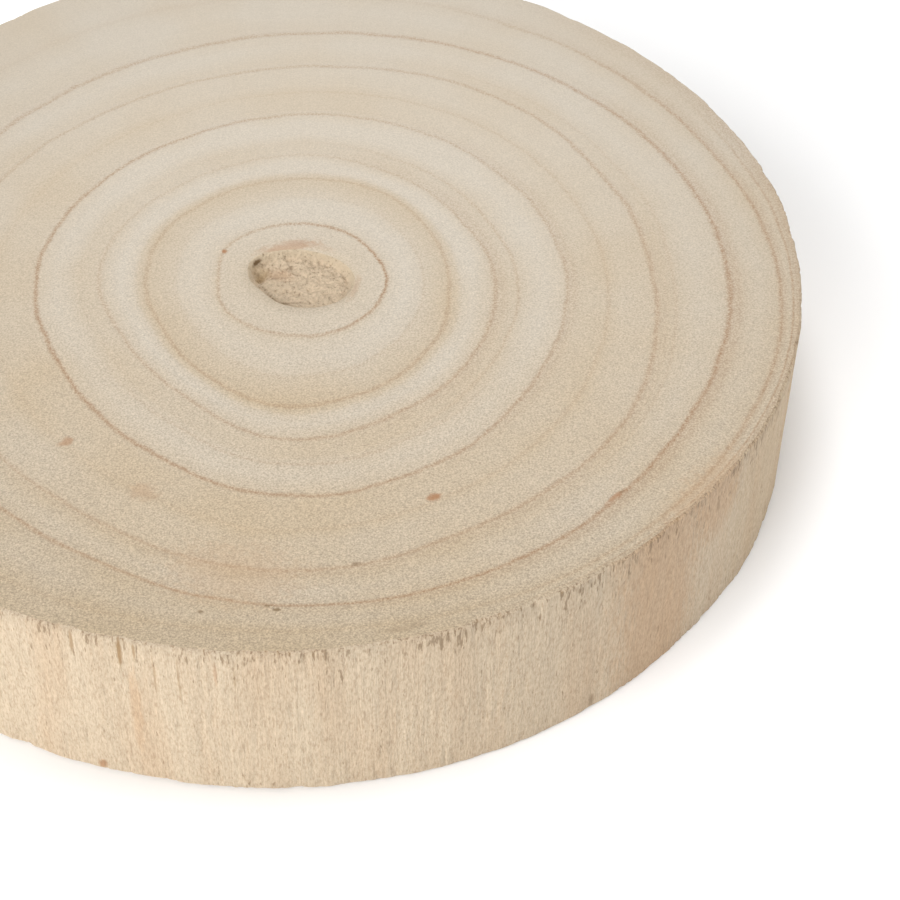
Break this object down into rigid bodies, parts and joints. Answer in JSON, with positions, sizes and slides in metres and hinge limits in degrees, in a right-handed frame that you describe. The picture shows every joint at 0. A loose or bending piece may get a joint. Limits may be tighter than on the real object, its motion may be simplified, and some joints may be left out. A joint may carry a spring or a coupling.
{
  "type": "wood slice",
  "caption": "Round slice of a pale, bark-free trunk: flat sawn faces with growth rings, a soft torn pith, and upright grain round the edge.",
  "frame": {"origin": "middle of the sawn underside, at the foot of the slice", "axes": "+Z along the trunk's axis, from the underside to the upper sawn face; -Y towards the side of the rim with the most torn grain"},
  "size_m": [0.2096, 0.2106, 0.0395],
  "materials": {
    "bare_wood": "bare, lightly sanded, matt"
  },
  "bodies": {
    "root": {"wood_slice": "bare_wood"}
  },
  "joints": []
}
